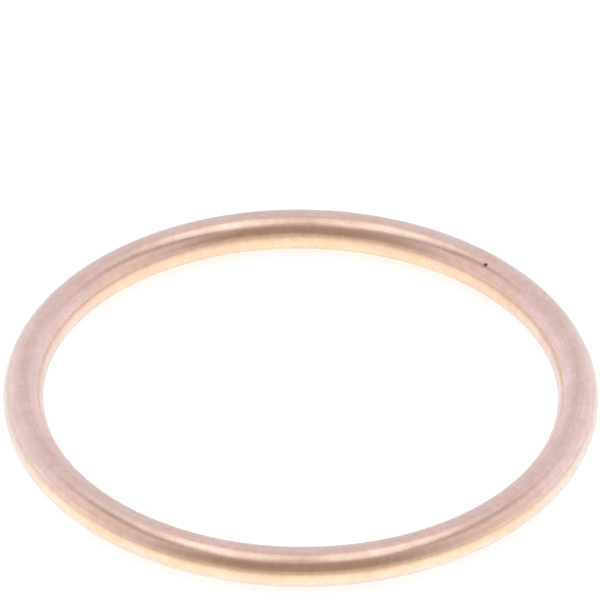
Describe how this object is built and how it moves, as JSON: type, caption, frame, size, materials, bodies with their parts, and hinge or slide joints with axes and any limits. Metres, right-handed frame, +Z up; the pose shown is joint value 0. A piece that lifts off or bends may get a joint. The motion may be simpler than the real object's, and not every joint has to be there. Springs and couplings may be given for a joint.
{
  "type": "exhaust gasket",
  "caption": "Round-section copper crush ring of rolled sheet, its seam underneath, that seals an exhaust pipe to its port.",
  "frame": {"origin": "centre of the ring, on the plane that it rests on", "axes": "+Z up along the ring's axis, from the seam side to the plain round side; +X and +Y lie in the ring's plane, with the pit 46.4 degrees counter-clockwise from +X"},
  "size_m": [0.052, 0.052, 0.0033],
  "materials": {
    "copper": "satin copper, annealed and pickled to a pale rose"
  },
  "bodies": {
    "root": {"gasket_ring": "copper"}
  },
  "joints": []
}
